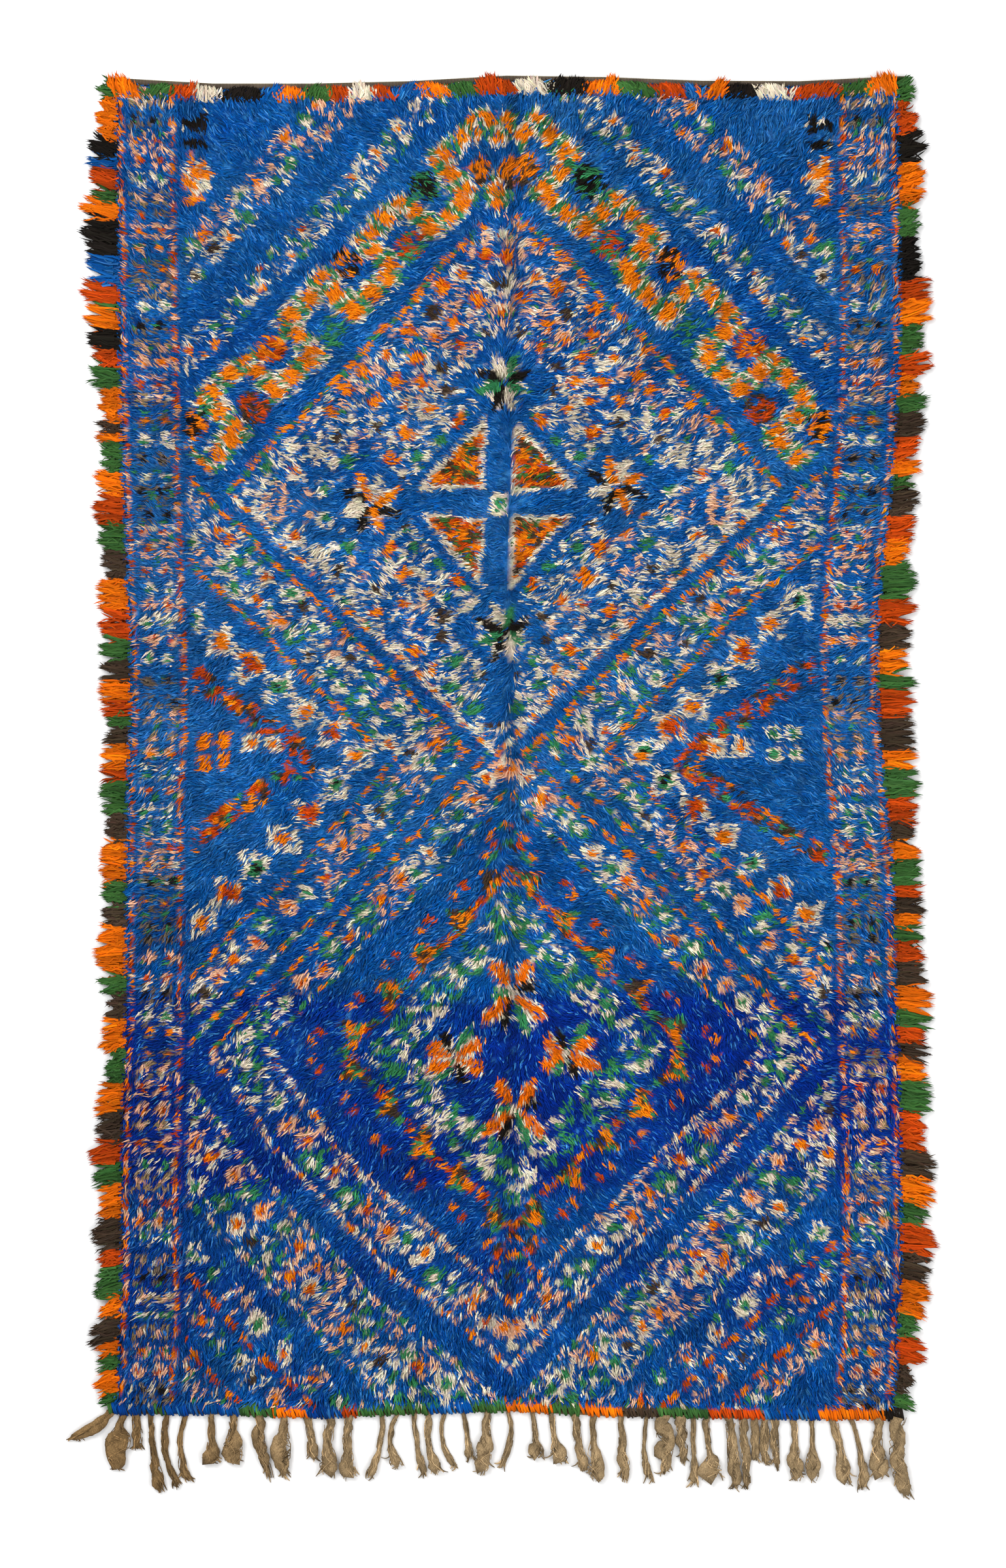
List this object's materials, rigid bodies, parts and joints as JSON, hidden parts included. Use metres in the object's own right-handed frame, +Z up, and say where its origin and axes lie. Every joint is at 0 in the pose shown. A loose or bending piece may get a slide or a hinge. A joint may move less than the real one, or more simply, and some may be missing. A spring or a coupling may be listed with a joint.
{
  "type": "rug",
  "caption": "Hand-knotted shag rug lying flat: blue wool pile with a tribal lozenge pattern, colour-block tufted sides, woven heading, overcast end and felted warp fringe.",
  "frame": {"origin": "on the floor, near the middle of the pile field's underside", "axes": "+X across the rug, +Y along the rug towards its woven heading, +Z up from the floor"},
  "size_m": [1.8704, 3.0998, 0.0305],
  "materials": {
    "pile_wool": "shaggy wool pile, cobalt blue with small flowers in orange, cream, green and black",
    "tuft_wool": "long wool tufts in blocks of orange, rust, green, brown and black",
    "heading_weave": "flat-woven undyed brown wool",
    "binding_wool": "overcast wool yarn in runs of blue, green and orange",
    "fringe_wool": "felted taupe wool warp ends"
  },
  "bodies": {
    "root": {"pile_field": "pile_wool", "selvedge_left": "tuft_wool", "selvedge_right": "tuft_wool", "top_heading": "heading_weave", "end_binding": "binding_wool", "warp_fringe": "fringe_wool"}
  },
  "joints": []
}
